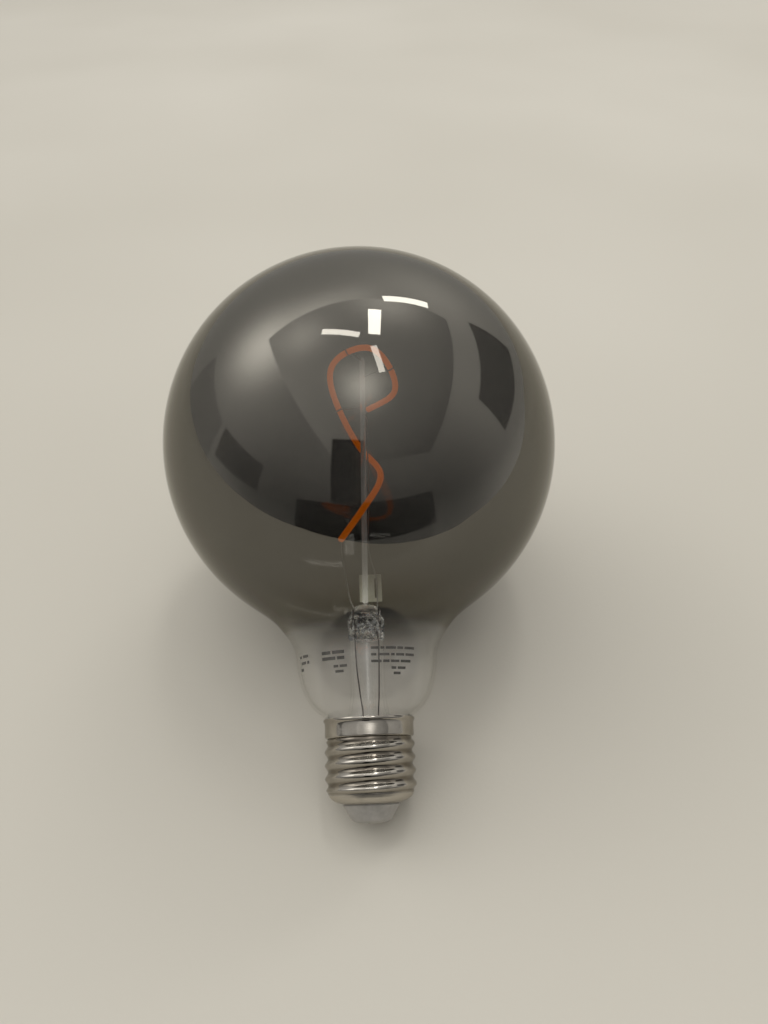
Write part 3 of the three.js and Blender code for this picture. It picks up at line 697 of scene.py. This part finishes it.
def make_stem():
    drawn = thin_glass("drawn_glass", 0.014, 0.00012)
    outside = smooth_path([
        (10.1, NECK_MOUTH_Z + 0.4),
        (FLARE_RADIUS + 3.0, NECK_MOUTH_Z + 3.6),
        (FLARE_RADIUS + 1.0, NECK_MOUTH_Z + 8.0),
        (FLARE_RADIUS, NECK_MOUTH_Z + 14.0),
        (FLARE_RADIUS, FLARE_TOP_Z - 4.0),
        (FLARE_RADIUS, FLARE_TOP_Z),
    ], 8)
    inside = [(radius - FLARE_WALL, z) for radius, z in reversed(outside)]
    flare = turned("stem_flare_glass", outside + inside, drawn, 96, True)
    settle(flare, "clear_glass", "stem_flare")

    bore = EXHAUST_RADIUS - EXHAUST_WALL
    tip = smooth_path([
        (0.0, EXHAUST_TIP_Z),
        (EXHAUST_RADIUS * 0.6, EXHAUST_TIP_Z + 0.5),
        (EXHAUST_RADIUS * 0.93, EXHAUST_TIP_Z + 1.6),
        (EXHAUST_RADIUS, EXHAUST_TIP_Z + 3.0),
    ], 5)
    hollow = [(EXHAUST_RADIUS, FLARE_TOP_Z), (bore, FLARE_TOP_Z), (bore, EXHAUST_TIP_Z + 4.0),
              (bore * 0.6, EXHAUST_TIP_Z + 2.9), (0.0, EXHAUST_TIP_Z + 2.5)]
    exhaust = turned("exhaust_tube_glass", tip + hollow, drawn, 64)
    settle(exhaust, "clear_glass", "exhaust_tube")

    steps = 24
    heights = [ROD_FOOT_Z + 0.5 + (ROD_TOP_Z - ROD_FOOT_Z - 1.0) * k / steps for k in range(steps + 1)]
    rod = swept("centre_rod_glass", [(rod_x_at(z), 0.0, z) for z in heights], ROD_RADIUS,
                solid_glass("rod_glass", "waves", 0.00002, ROD_CLEARNESS, ROD_GLOW), 24)
    settle(rod, "clear_glass", "centre_rod")
    make_pinch()


# The pinch's side: shares of its half width, and heights above its foot.
PINCH_SIDE = [
    (0.90, 0.0), (0.99, 1.5), (0.95, 3.3), (1.0, 5.0), (0.97, 6.6), (0.84, 7.9), (0.80, 9.2), (0.64, 10.3),
]
PINCH_DOME_RISE = 7.6


def make_pinch():
    """The pressed seal: a flat block, crumpled by the press, under a smoother domed shoulder."""
    flatness = PINCH_HIGH.y / PINCH_HIGH.x
    side = smooth_path([(share * PINCH_HALF_WIDTH, PINCH_BOTTOM_Z + rise) for share, rise in PINCH_SIDE], 9)
    outline = [(0.0, PINCH_BOTTOM_Z), (0.5 * PINCH_HALF_WIDTH, PINCH_BOTTOM_Z), *side,
               (0.34 * PINCH_HALF_WIDTH, PINCH_TOP_Z - 0.2), (0.0, PINCH_TOP_Z)]
    dome_z = PINCH_BOTTOM_Z + PINCH_DOME_RISE

    def crumple(x, y, z):
        place = Vector((x, y * flatness, z))
        above_foot = smoothstep(PINCH_BOTTOM_Z, PINCH_BOTTOM_Z + 1.0, z)
        share = above_foot * (1 - 0.75 * smoothstep(dome_z - 1, dome_z + 1, z))
        wide = noise.noise(place * 0.55) + 0.5 * noise.noise(place * 1.5)
        sink = min(max(0.35 + 0.8 * wide, 0.0), 0.9) * share
        shrink = 1 - 0.28 * sink
        return (place.x * (1 - 0.06 * sink), place.y * shrink, place.z)

    glass = solid_glass("pressed_glass", "facets", 0.0026)
    pinch = turned("pinch_seal_glass", outline, glass, 144, False, crumple)
    settle(pinch, "clear_glass", "pinch_seal")


# ---------------------------------------------------------------- filament and wires

FILAMENT_POINTS = [
    (-7.1, 0, 83.3), (0.7, -7, 91.6), (6.8, 0, 105.2), (-1.3, 8.5, 119.2),
    (-10.2, -2.5, 142.9), (5.1, -11, 145.8), (13, 1.5, 135.7), (2.9, 10, 133.1),
]

# Each support leaves the rod at a height, and holds the filament near a point.
SUPPORTS = [
    (146.6, (-3.3, -8.1, 146)),
    (140.4, (11.1, -5.5, 140.8)),
    (129.2, (-7.1, 5.1, 130.6)),
]

FILAMENT_SMOOTHING_PASSES = 130

# A support's loop: its turn in degrees, and its gap from the filament in millimetres.
LOOP_TURN = 285
LOOP_CLEARANCE = 0.1


def rounded(path, passes):
    """Evens out a dense path by repeated averaging. Its ends stay."""
    points = [Vector(p) for p in path]
    for _ in range(passes):
        middle = [(a + 2 * b + c) / 4 for a, b, c in zip(points, points[1:], points[2:])]
        points = [points[0], *middle, points[-1]]
    return [tuple(p) for p in points]


def make_filament():
    path = rounded(smooth_path(FILAMENT_POINTS, 36), FILAMENT_SMOOTHING_PASSES)

    def chip_ripple(length):
        return 1 + 0.02 * math.sin(length * 2 * math.pi / CHIP_PITCH)

    piece = swept("spiral_filament", path, FILAMENT_RADIUS, phosphor_silicone(), 24, chip_ripple)
    settle(piece, "phosphor_silicone", "led_filament")
    strip = mottled("filament_strip", (0.75, 0.70, 0.58), (0.86, 0.82, 0.70), 0.5)
    core = swept("filament_core", path, FILAMENT_CORE_RADIUS, strip, 8)
    settle(core, "filament_strip", "filament_substrate")
    return path


def make_support(name, path, rod_z, near, material):
    """A wire that leaves the rod and ends in an open loop round the filament."""
    points, frames = frames_along(path)
    nearest = min(range(len(points)), key=lambda i: (points[i] - Vector(near)).length)
    centre, along = points[nearest], frames[nearest][0]
    rod = Vector((rod_x_at(rod_z), 0, rod_z))
    inward = rod - centre
    inward = (inward - along * inward.dot(along)).normalized()
    sideways = along.cross(inward)
    reach = FILAMENT_RADIUS + SUPPORT_RADIUS + LOOP_CLEARANCE
    steps, drift = 8, 0.35
    loop = []
    for i in range(steps + 1):
        angle = math.pi / 2 + math.radians(LOOP_TURN) * i / steps
        around = inward * math.cos(angle) + sideways * math.sin(angle)
        loop.append(centre + around * reach + along * (drift * i / steps))
    outward = Vector((loop[0].x - rod.x, loop[0].y - rod.y, 0)).normalized()
    start = rod + outward * (ROD_RADIUS * 0.6)
    route = smooth_path([tuple(p) for p in (start, start.lerp(loop[0], 0.5), *loop)], 8)
    return swept(name, route, SUPPORT_RADIUS, material, 12)


def beside_rod(z, y):
    return (rod_x_at(z) + ROD_RADIUS + LEAD_RADIUS + 0.3, y, z)


def make_wires(filament_path):
    dark = drawn_wire("molybdenum_wire", (0.16, 0.15, 0.15), (0.34, 0.33, 0.33), 0.3)
    bright = drawn_wire("nickel_wire", (0.34, 0.34, 0.33), (0.58, 0.57, 0.55), 0.25)
    copper = drawn_wire("copper_clad_wire", (0.06, 0.05, 0.045), (0.15, 0.12, 0.10), 0.4)
    for i, (rod_z, near) in enumerate(SUPPORTS, 1):
        support = make_support(f"support_hook_{i}", filament_path, rod_z, near, dark)
        settle(support, "support_wire", f"support_wire_{i}")
    seal_top = PINCH_TOP_Z - 1.2
    seal_low = PINCH_BOTTOM_Z - 0.3
    routes = {
        "inner_lead_left": [(LEFT_SEAL_X, 0, seal_top), (-4.6, 0, 64.0), (-6.5, 0, 76.0), (-6.85, 0, 78.6)],
        "inner_lead_right": [(RIGHT_SEAL_X, 0, seal_top), (3.75, 0.6, 65.0), (3.65, 0.6, 70.4),
                             beside_rod(79, 0.2), beside_rod(92, 0), beside_rod(110, 0), beside_rod(123, 0.4),
                             (2.0, 6.4, 128.6), (0.3, 12.0, 131.3)],
        "outer_lead_left": [(LEFT_SEAL_X, 0, seal_low), (-3.1, -1.1, 42.5), (-2.2, -2.7, 34.5),
                            (-1.6, -3.6, 28.5), (-3.6, -4.4, 19.6), (-3.6, -4.4, 15.6)],
        "outer_lead_right": [(RIGHT_SEAL_X, 0, seal_low), (3.5, -0.4, 42.5), (3.2, -1.1, 34.5),
                             (2.9, -1.9, 28.5), (4.4, -3.6, 19.6), (4.4, -3.6, 15.6)],
        "seal_wire_left": [(LEFT_SEAL_X, 0, seal_low + 0.1), (LEFT_SEAL_X, 0, seal_top)],
        "seal_wire_right": [(RIGHT_SEAL_X, 0, seal_low + 0.1), (RIGHT_SEAL_X, 0, seal_top)],
    }
    for node, points in routes.items():
        inner = node.startswith("inner")
        material, slot = (bright, "nickel_wire") if inner else (copper, "copper_wire")
        piece = swept(f"{node}_drawn", smooth_path(points, 10), LEAD_RADIUS, material, 12)
        settle(piece, slot, node)


def make_getter():
    """A coated plate with a long slot, held behind the rod."""
    coat = mottled("getter_coat", (0.70, 0.71, 0.56), (0.90, 0.90, 0.76), 0.5, 500.0)
    low, high = (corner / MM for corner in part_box("getter_tab"))
    slot_left, slot_right, rim = 0.68, 0.80, 1.2

    def share(x):
        return low.x + (high.x - low.x) * x

    rings = [
        [(low.x, low.z), (high.x, low.z), (high.x, high.z), (low.x, high.z)],
        [(share(slot_left), low.z + rim), (share(slot_right), low.z + rim),
         (share(slot_right), high.z - rim), (share(slot_left), high.z - rim)],
    ]
    vertices = [(x, y, z) for y in (low.y, high.y) for ring in rings for x, z in ring]
    faces = []
    for k in range(4):
        j = (k + 1) % 4
        faces.append([k, j, 4 + j, 4 + k])
        faces.append([8 + k, 12 + k, 12 + j, 8 + j])
        faces.append([k, 8 + k, 8 + j, j])
        faces.append([4 + k, 4 + j, 12 + j, 12 + k])
    plate = new_mesh_object("getter_plate", vertices, faces, coat, smooth=False)
    bevel = plate.modifiers.new("edges", "BEVEL")
    bevel.width = 0.06 * MM
    bevel.segments = 2
    settle(plate, "getter", "getter_tab")


# ---------------------------------------------------------------- generic marks on the neck

# The ink's underside and top above the glass in millimetres, and its step round the neck in degrees.
MARK_LIFTS = (0.015, 0.045)
MARK_STEP_ANGLE = 1.5


def neck_patch(outline, low, high, start, end):
    """A thin patch on the neck's outside, between two heights and two angles in degrees."""
    rows = [p for p in outline if low < p[1] < high]
    rows = [radius_at(outline, low), *rows, radius_at(outline, high)]
    columns = max(1, round((end - start) / MARK_STEP_ANGLE))
    vertices, faces = [], []
    for lift in MARK_LIFTS:
        for radius, z in rows:
            for k in range(columns + 1):
                angle = math.radians(start + (end - start) * k / columns)
                vertices.append(((radius + lift) * math.sin(angle), -(radius + lift) * math.cos(angle), z))
    width = columns + 1
    sheet = len(rows) * width
    for r in range(len(rows) - 1):
        for k in range(columns):
            a = r * width + k
            faces.append([a, a + width, a + width + 1, a + 1])
            b = a + sheet
            faces.append([b, b + 1, b + width + 1, b + width])
    border = list(range(width))
    border += [r * width + width - 1 for r in range(1, len(rows))]
    border += [(len(rows) - 1) * width + k for k in range(width - 2, -1, -1)]
    border += [r * width for r in range(len(rows) - 2, 0, -1)]
    for a, b in zip(border, border[1:] + border[:1]):
        faces.append([a, b, b + sheet, a + sheet])
    return vertices, faces


def radius_at(outline, z):
    for (r0, z0), (r1, z1) in zip(outline, outline[1:]):
        if z0 <= z <= z1:
            return (r0 + (r1 - r0) * (z - z0) / (z1 - z0), z)
    return outline[-1]


# Rows of plain dashes: top of the row in millimetres, height, first angle, and lengths and gaps in degrees.
MARK_ROWS = [
    (46.4, 0.7, 4, [(6, 1.2), (3, 1.2), (8, 1.2), (5, 1.2), (9, 0)]),
    (44.6, 0.7, 4, [(4, 1.2), (9, 1.2), (3, 1.2), (7, 1.2), (8, 0)]),
    (42.8, 0.7, 4, [(8, 1.2), (5, 1.2), (7, 1.2), (9, 0)]),
    (45.9, 0.9, -36, [(8, 1.5), (10, 0)]),
    (44.3, 0.9, -36, [(12, 1.5), (6, 0)]),
    (42.0, 0.7, -26, [(4, 1.2), (6, 0)]),
    (40.6, 0.7, -25, [(7, 0)]),
    (41.0, 0.7, 20, [(4, 1.2), (7, 0)]),
    (39.6, 0.7, 22, [(6, 0)]),
    (46.0, 0.8, -66, [(4, 2), (8, 0)]),
    (44.2, 0.8, -64, [(8, 2), (3, 0)]),
    (42.4, 0.8, -66, [(5, 0)]),
]


def make_marks(outline):
    ink = mottled("mark_ink", (0.055, 0.052, 0.045), (0.12, 0.112, 0.10), 0.6, 900.0)
    vertices, faces = [], []
    for top, height, start, dashes in MARK_ROWS:
        angle = start
        for length, gap in dashes:
            more_vertices, more_faces = neck_patch(outline, top - height, top, angle, angle + length)
            shift = len(vertices)
            vertices += more_vertices
            faces += [[v + shift for v in face] for face in more_faces]
            angle += length + gap
    piece = new_mesh_object("neck_marks", vertices, faces, ink)
    settle(piece, "smoked_glass")


# ---------------------------------------------------------------- nodes kept from the frame

def dress_kept_nodes():
    """Gives each node that stays as it is a procedural material."""
    finishes = {
        "cap_cement": mottled("basing_cement", (0.60, 0.56, 0.47), (0.74, 0.70, 0.61), 0.85, 300.0,
                              relief=0.0002),
        "driver_board": mottled("solder_resist", (0.02, 0.10, 0.04), (0.03, 0.15, 0.06), 0.35, 250.0),
        "electrolytic_capacitor": mottled("can_sleeve", (0.02, 0.022, 0.03), (0.04, 0.045, 0.06), 0.35),
        "input_capacitor": mottled("dipped_epoxy", (0.42, 0.08, 0.03), (0.55, 0.13, 0.05), 0.3),
        "fusible_resistor": mottled("resistor_lacquer", (0.10, 0.24, 0.28), (0.16, 0.33, 0.38), 0.4),
        "live_wire": mottled("live_insulation", (0.38, 0.03, 0.025), (0.5, 0.05, 0.04), 0.5),
        "neutral_wire": mottled("neutral_insulation", (0.012, 0.014, 0.02), (0.03, 0.035, 0.045), 0.5),
    }
    epoxy = mottled("moulded_epoxy", (0.012, 0.012, 0.014), (0.03, 0.03, 0.034), 0.5)
    for node in ("bridge_rectifier", "driver_ic", "sense_resistor_1", "sense_resistor_2"):
        finishes[node] = epoxy
    tin = drawn_wire("tinned_tab", (0.50, 0.50, 0.48), (0.72, 0.71, 0.69), 0.25)
    for node in ("filament_tab_start", "filament_tab_end"):
        finishes[node] = tin
    weave = mottled("glass_fibre_sleeve", (0.62, 0.58, 0.50), (0.80, 0.77, 0.70), 0.8, 1800.0, relief=0.0001)
    for node in ("lead_sleeve_left", "lead_sleeve_right"):
        finishes[node] = weave
    for node, material in finishes.items():
        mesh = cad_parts[node].data
        mesh.materials.clear()
        mesh.materials.append(material)


# ---------------------------------------------------------------- floor, light and camera

# The point of the cap that touches the floor: in from the thread's crests, and up from its foot.
CAP_TOUCH_INSET = 0.55
CAP_TOUCH_RISE = 0.4


def lying_tilt():
    """The angle between the bulb's axis and the floor when the globe and the cap both touch it."""
    touch_radius = THREAD_CREST_RADIUS - CAP_TOUCH_INSET
    touch_z = THREAD_BOTTOM_Z + CAP_TOUCH_RISE
    run = GLOBE_Z - touch_z
    reach = math.hypot(run, touch_radius)
    return math.asin(GLOBE_RADIUS / reach) - math.atan2(touch_radius, run)


TILT = lying_tilt()
UP = Vector((0, -math.cos(TILT), math.sin(TILT)))
TOWARDS_CAP = Vector((0, -math.sin(TILT), -math.cos(TILT)))
RIGHT = Vector((1, 0, 0))
GLOBE_CENTRE = Vector((0, 0, GLOBE_Z * MM))


def from_room(elevation, azimuth):
    """A direction by its height above the floor and its turn from the cap's side towards +X, in degrees."""
    e, a = math.radians(elevation), math.radians(azimuth)
    flat = TOWARDS_CAP * math.cos(a) + RIGHT * math.sin(a)
    return flat * math.cos(e) + UP * math.sin(e)


# The floor's corners in metres from the point under the globe: to the right, and towards the cap's side.
FLOOR_CORNERS = [
    (-3.0, -4.0), (-3.0, -0.8), (-1.6, 0.2), (-0.8, 0.45), (-0.26, 0.48), (-0.07, 0.40), (0.04, 0.316),
    (0.145, 0.244), (0.20, 0.209), (0.262, 0.19), (0.36, 0.11), (0.58, -0.03), (3.0, -1.4), (3.0, -4.0),
]


def make_floor():
    """A flat sheet with a rounded edge on the cap's side. It runs far on the other ways."""
    contact = GLOBE_CENTRE - UP * (GLOBE_RADIUS * MM)
    corners = [(contact + RIGHT * aside + TOWARDS_CAP * near) / MM for aside, near in FLOOR_CORNERS]
    floor = new_mesh_object("pale_floor", corners, [list(range(len(corners)))], floor_cloth(), smooth=False)


# The ceiling's edges on a sheet one unit over the bulb: to the right, and towards the cap's side.
CEILING_RIGHT = (-0.77, 1.14)
CEILING_TOWARDS_CAP = (-0.68, 1.8)
CEILING_TURN = 0.2
CEILING_SOFTNESS = 0.02

# Soft bright areas on the ceiling and on the walls: elevation, azimuth, sharpness and gain.
CEILING_POOLS = [(70, 8, 60, 1.7), (54, 158, 35, 1.0), (62, -122, 60, 0.75)]
WALL_POOLS = [(44, -116, 26, 2.4), (60, -150, 40, 1.2), (33, 150, 20, 0.5), (54, 178, 60, 0.5)]

# Dark flags beside the bulb: elevation, azimuth, half width and half height in degrees, and what they let by.
ROOM_FLAGS = [
    (16, 111, 20, 11, 0.22),
    (3, -107, 17, 13, 0.72),
    (9, -71, 15, 7, 0.36),
    (25, -7, 9, 17, 0.04),
    (-3, 2, 36, 11, 0.06),
]

FLAG_SOFTNESS = 0.012

# Levels of light: the foot of the walls, the ceiling from left to right and from far to near, and gains.
ROOM_LOW_LEVEL = 0.13
CEILING_LEVELS = (1.0, 0.42)
CEILING_FADE = (1.15, 0.34)
ROOM_WALL_GAIN = 0.27
ROOM_FAR_WALL_GAIN = 0.42
ROOM_TINT = (1.0, 0.985, 0.955)
ROOM_UNDER_GAIN = 1.8

# Where the levels change, as the upward or far part of a direction.
WALL_RISE = (0.0, 0.75)
FAR_WALL_RISE = (-0.75, 0.15)
UNDER_RISE = (-0.3, 0.0)
CEILING_RISE = (0.03, 0.06)
BACKDROP = (0.50, 0.468, 0.405)


def make_world():
    """A plain room: a pale ceiling, walls that darken towards the viewer, and a few dark flags.

    The room lights the bulb and shows in its reflections. Seen straight on, it is one plain backdrop.
    """
    world = bpy.data.worlds.new("pale_room")
    bpy.context.scene.world = world
    world.use_nodes = True
    n = Nodes(world.node_tree)
    direction = n.add("ShaderNodeTexCoord").outputs["Generated"]

    def towards(way):
        return n.add("ShaderNodeVectorMath", {0: direction, 1: way}, operation="DOT_PRODUCT").outputs["Value"]

    def with_pools(level, pools):
        for elevation, azimuth, sharpness, gain in pools:
            facing = n.math("MAXIMUM", towards(from_room(elevation, azimuth)), 0.0)
            level = n.plus(level, n.times(n.math("POWER", facing, sharpness), gain))
        return level

    def between(value, low, high, soft):
        return n.times(n.spread(value, low - soft, low + soft, smooth=True),
                       n.spread(value, high - soft, high + soft, 1.0, 0.0, smooth=True))

    def flag(elevation, azimuth, half_width, half_height):
        middle = from_room(elevation, azimuth)
        across = UP.cross(middle).normalized()
        ahead = n.math("MAXIMUM", towards(middle), 0.01)
        wide, high = math.tan(math.radians(half_width)), math.tan(math.radians(half_height))
        aside = n.math("DIVIDE", towards(across), ahead)
        above = n.math("DIVIDE", towards(middle.cross(across)), ahead)
        inside = n.times(between(aside, -wide, wide, FLAG_SOFTNESS),
                         between(above, -high, high, FLAG_SOFTNESS))
        return n.times(inside, n.spread(ahead, 0.02, 0.05))

    up = towards(UP)
    height = n.math("MAXIMUM", up, 0.02)
    right = n.math("DIVIDE", towards(RIGHT), height)
    near = n.math("DIVIDE", towards(TOWARDS_CAP), height)
    turned_right = n.plus(right, n.times(near, -CEILING_TURN))
    turned_near = n.plus(near, n.times(right, CEILING_TURN))
    on_ceiling = n.times(between(turned_right, *CEILING_RIGHT, CEILING_SOFTNESS),
                         between(turned_near, *CEILING_TOWARDS_CAP, CEILING_SOFTNESS))
    on_ceiling = n.times(on_ceiling, n.spread(up, *CEILING_RISE))
    ceiling = n.times(n.spread(turned_right, *CEILING_RIGHT, *CEILING_LEVELS),
                      n.spread(turned_near, *CEILING_TOWARDS_CAP, *CEILING_FADE))
    ceiling = with_pools(ceiling, CEILING_POOLS)
    wall = n.spread(up, *WALL_RISE, ROOM_LOW_LEVEL, ROOM_LOW_LEVEL + ROOM_WALL_GAIN, smooth=True)
    far = n.spread(towards(-TOWARDS_CAP), *FAR_WALL_RISE, 0.0, ROOM_FAR_WALL_GAIN, smooth=True)
    wall = with_pools(n.plus(wall, far), WALL_POOLS)
    level = n.plus(n.times(ceiling, on_ceiling), n.times(wall, n.rest(on_ceiling)))
    for elevation, azimuth, half_width, half_height, let_by in ROOM_FLAGS:
        mask = flag(elevation, azimuth, half_width, half_height)
        level = n.times(level, n.rest(n.times(mask, 1 - let_by)))
    # Below the horizon the room is brighter, as pale things near the floor make it.
    level = n.times(level, n.spread(up, *UNDER_RISE, ROOM_UNDER_GAIN, 1.0))

    room = n.add("ShaderNodeBackground", {"Color": (*ROOM_TINT, 1.0), "Strength": level})
    plain = n.add("ShaderNodeBackground", {"Color": (*BACKDROP, 1.0)})
    seen = n.add("ShaderNodeLightPath").outputs["Is Camera Ray"]
    mix = n.add("ShaderNodeMixShader", {0: seen, 1: room.outputs[0], 2: plain.outputs[0]})
    n.add("ShaderNodeOutputWorld", {"Surface": mix.outputs[0]})


# Long soft lamps: the two ends' elevation and azimuth, the width in degrees, and the brightness.
STRIP_LAMPS = {
    "ceiling_strip_main": ((61.3, 163), (76.3, 141), 5.5, 9.0),
    "ceiling_strip_left": ((69, -133), (80, 170), 3.3, 6.0),
    "ceiling_strip_right": ((52, 162), (40, 142.5), 4.0, 8.0),
    "ceiling_strip_cross": ((81, 112), (72.5, 48), 3.2, 4.0),
}
LAMP_DISTANCE = 2.0
LAMP_AIM = GLOBE_CENTRE + Vector((0.005, -0.06, 0.012))


def make_strip(name, first, second, width_angle, radiance):
    """A long soft lamp between two directions, which faces the globe."""
    ends = [LAMP_AIM + from_room(*end) * LAMP_DISTANCE for end in (first, second)]
    centre = (ends[0] + ends[1]) / 2
    back = (centre - LAMP_AIM).normalized()
    along = ends[1] - ends[0]
    length = along.length
    along = (along - back * along.dot(back)).normalized()
    data = bpy.data.lights.new(name, "AREA")
    data.shape = "RECTANGLE"
    data.size = length
    data.size_y = 2 * LAMP_DISTANCE * math.tan(math.radians(width_angle) / 2)
    data.energy = radiance * math.pi * data.size * data.size_y
    data.color = (1.0, 0.99, 0.97)
    lamp = bpy.data.objects.new(name, data)
    axes = Matrix((along, back.cross(along), back)).transposed().to_4x4()
    lamp.matrix_world = Matrix.Translation(centre) @ axes
    lamp.visible_camera = False
    bpy.context.collection.objects.link(lamp)


def make_camera():
    data = bpy.data.cameras.new("camera")
    data.lens = CAMERA_LENS
    data.sensor_width = CAMERA_SENSOR
    data.clip_start = 0.01
    camera = bpy.data.objects.new("camera", data)
    tilt, roll = math.radians(CAMERA_TILT_UP), math.radians(CAMERA_ROLL)
    turn = Matrix.Rotation(math.radians(CAMERA_YAW), 3, "Z")
    ahead = turn @ Vector((0, math.cos(tilt), math.sin(tilt)))
    level = turn @ RIGHT
    over = level.cross(ahead)
    right = level * math.cos(roll) + over * math.sin(roll)
    over = right.cross(ahead)
    axes = Matrix((right, over, -ahead)).transposed().to_4x4()
    camera.matrix_world = Matrix.Translation(CAMERA_PLACE) @ axes
    bpy.context.collection.objects.link(camera)
    bpy.context.scene.camera = camera


# ---------------------------------------------------------------- the scene

bpy.context.scene.view_settings.view_transform = "Standard"
# The envelope has four walls in line, and the stem stands inside it, so light takes many bounces.
bpy.context.scene.cycles.max_bounces = 24
bpy.context.scene.cycles.transmission_bounces = 24
bpy.context.scene.cycles.transparent_max_bounces = 24

make_camera()
make_floor()
make_world()
for lamp_name, strip in STRIP_LAMPS.items():
    make_strip(lamp_name, *strip)
OUTLINE = make_envelope()
make_shell()
make_insulator()
make_contact()
make_stem()
make_wires(make_filament())
make_getter()
make_marks(OUTLINE)
dress_kept_nodes()
